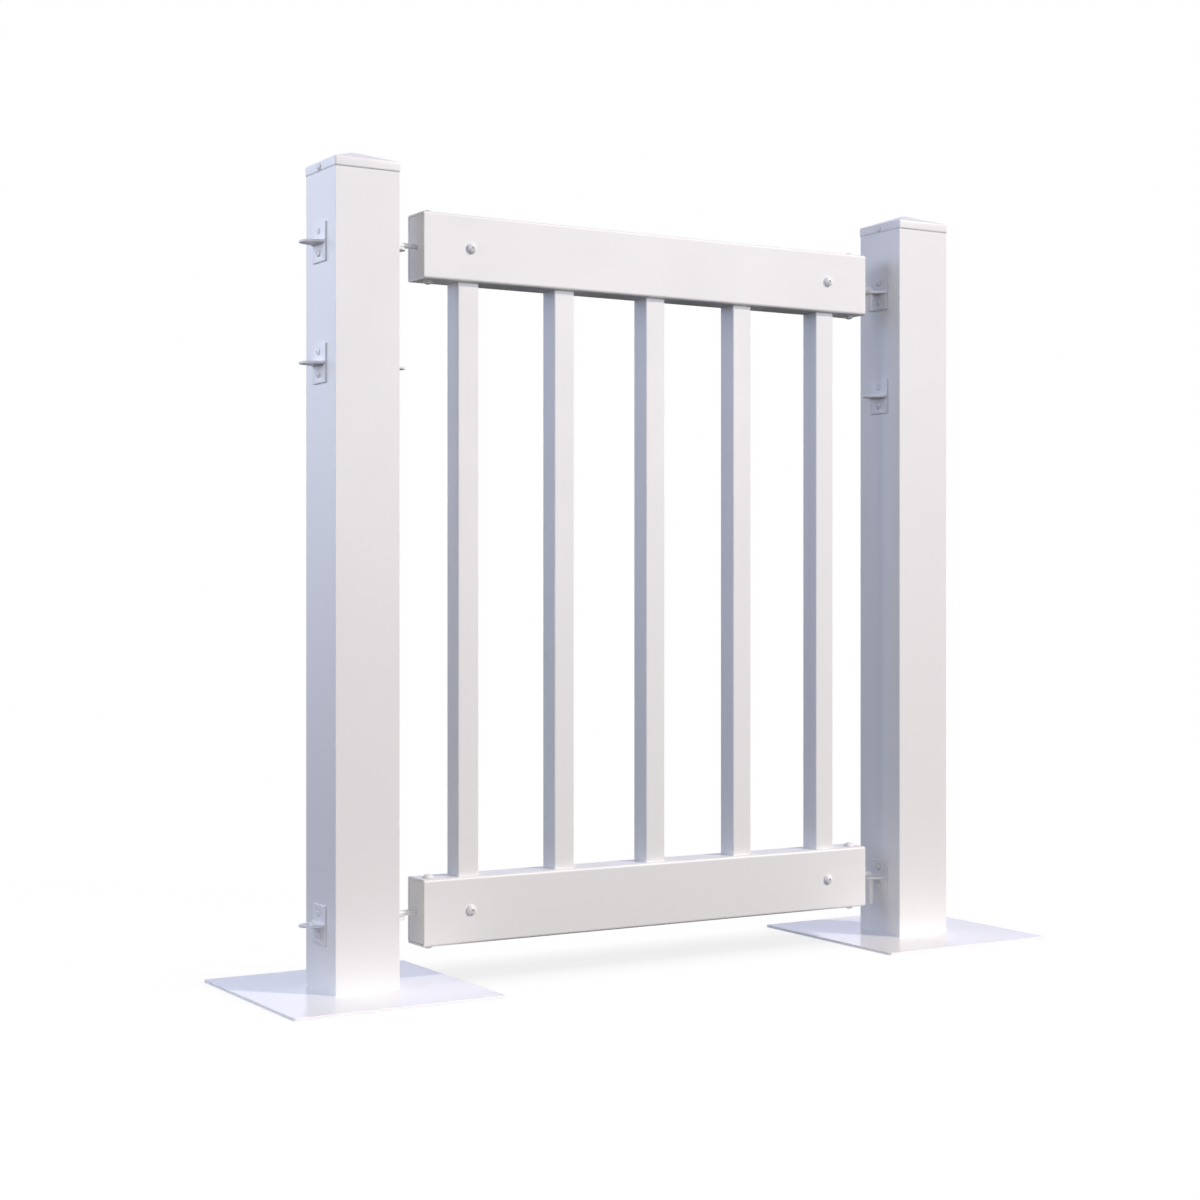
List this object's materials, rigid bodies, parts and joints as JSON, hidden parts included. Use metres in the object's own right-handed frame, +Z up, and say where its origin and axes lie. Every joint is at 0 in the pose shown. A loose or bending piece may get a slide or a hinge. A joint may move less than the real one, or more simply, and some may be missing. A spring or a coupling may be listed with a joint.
{
  "type": "fence panel",
  "caption": "White free-standing fence bay: a balustered panel hung by hook pins in the bracket tabs of two square posts, each capped and standing on a flat base plate.",
  "frame": {"origin": "on the ground, midway between the two posts, on the fence's centre line", "axes": "+X along the fence to the right post, +Y to the back (the screw heads on the rails face -Y), +Z up"},
  "size_m": [1.354, 0.328, 1.21],
  "materials": {
    "post_vinyl": "satin white",
    "rail_vinyl": "satin white",
    "cap_plastic": "moulded white",
    "plug_plastic": "matt",
    "base_steel": "powder coat",
    "stub_steel": "zinc",
    "bracket_aluminium": "white powder coat on aluminium",
    "pin_steel": "white coat on steel",
    "screw_steel": "white coat on steel"
  },
  "bodies": {
    "left_post": {"left_base_plate": "base_steel", "left_base_stub": "stub_steel", "left_post": "post_vinyl", "left_post_cap": "cap_plastic", "left_cap_screws": "screw_steel", "left_outer_upper_bracket": "bracket_aluminium", "left_outer_middle_bracket": "bracket_aluminium", "left_outer_lower_bracket": "bracket_aluminium", "left_inner_upper_bracket": "bracket_aluminium", "left_inner_middle_bracket": "bracket_aluminium", "left_inner_lower_bracket": "bracket_aluminium", "left_bracket_screws": "screw_steel"},
    "panel": {"upper_rail": "rail_vinyl", "upper_rail_screws": "screw_steel", "left_upper_rail_plug": "plug_plastic", "left_upper_hook_pin": "pin_steel", "right_upper_rail_plug": "plug_plastic", "right_upper_hook_pin": "pin_steel", "lower_rail": "rail_vinyl", "lower_rail_screws": "screw_steel", "left_lower_rail_plug": "plug_plastic", "left_lower_hook_pin": "pin_steel", "right_lower_rail_plug": "plug_plastic", "right_lower_hook_pin": "pin_steel", "baluster_1": "rail_vinyl", "baluster_2": "rail_vinyl", "baluster_3": "rail_vinyl", "baluster_4": "rail_vinyl", "baluster_5": "rail_vinyl"},
    "right_post": {"right_base_plate": "base_steel", "right_base_stub": "stub_steel", "right_post": "post_vinyl", "right_post_cap": "cap_plastic", "right_cap_screws": "screw_steel", "right_outer_upper_bracket": "bracket_aluminium", "right_outer_middle_bracket": "bracket_aluminium", "right_outer_lower_bracket": "bracket_aluminium", "right_inner_upper_bracket": "bracket_aluminium", "right_inner_middle_bracket": "bracket_aluminium", "right_inner_lower_bracket": "bracket_aluminium", "right_bracket_screws": "screw_steel"}
  },
  "joints": [
    {"name": "panel_swing", "type": "hinge", "parent": "left_post", "child": "panel", "pos_m": [-0.4427, 0, 1.07642], "axis": [0, 0, 1], "range_deg": [-70, 70]},
    {"name": "right_post_swing", "type": "hinge", "parent": "panel", "child": "right_post", "pos_m": [0.4427, 0, 1.07642], "axis": [0, 0, 1], "range_deg": [-70, 70]}
  ]
}
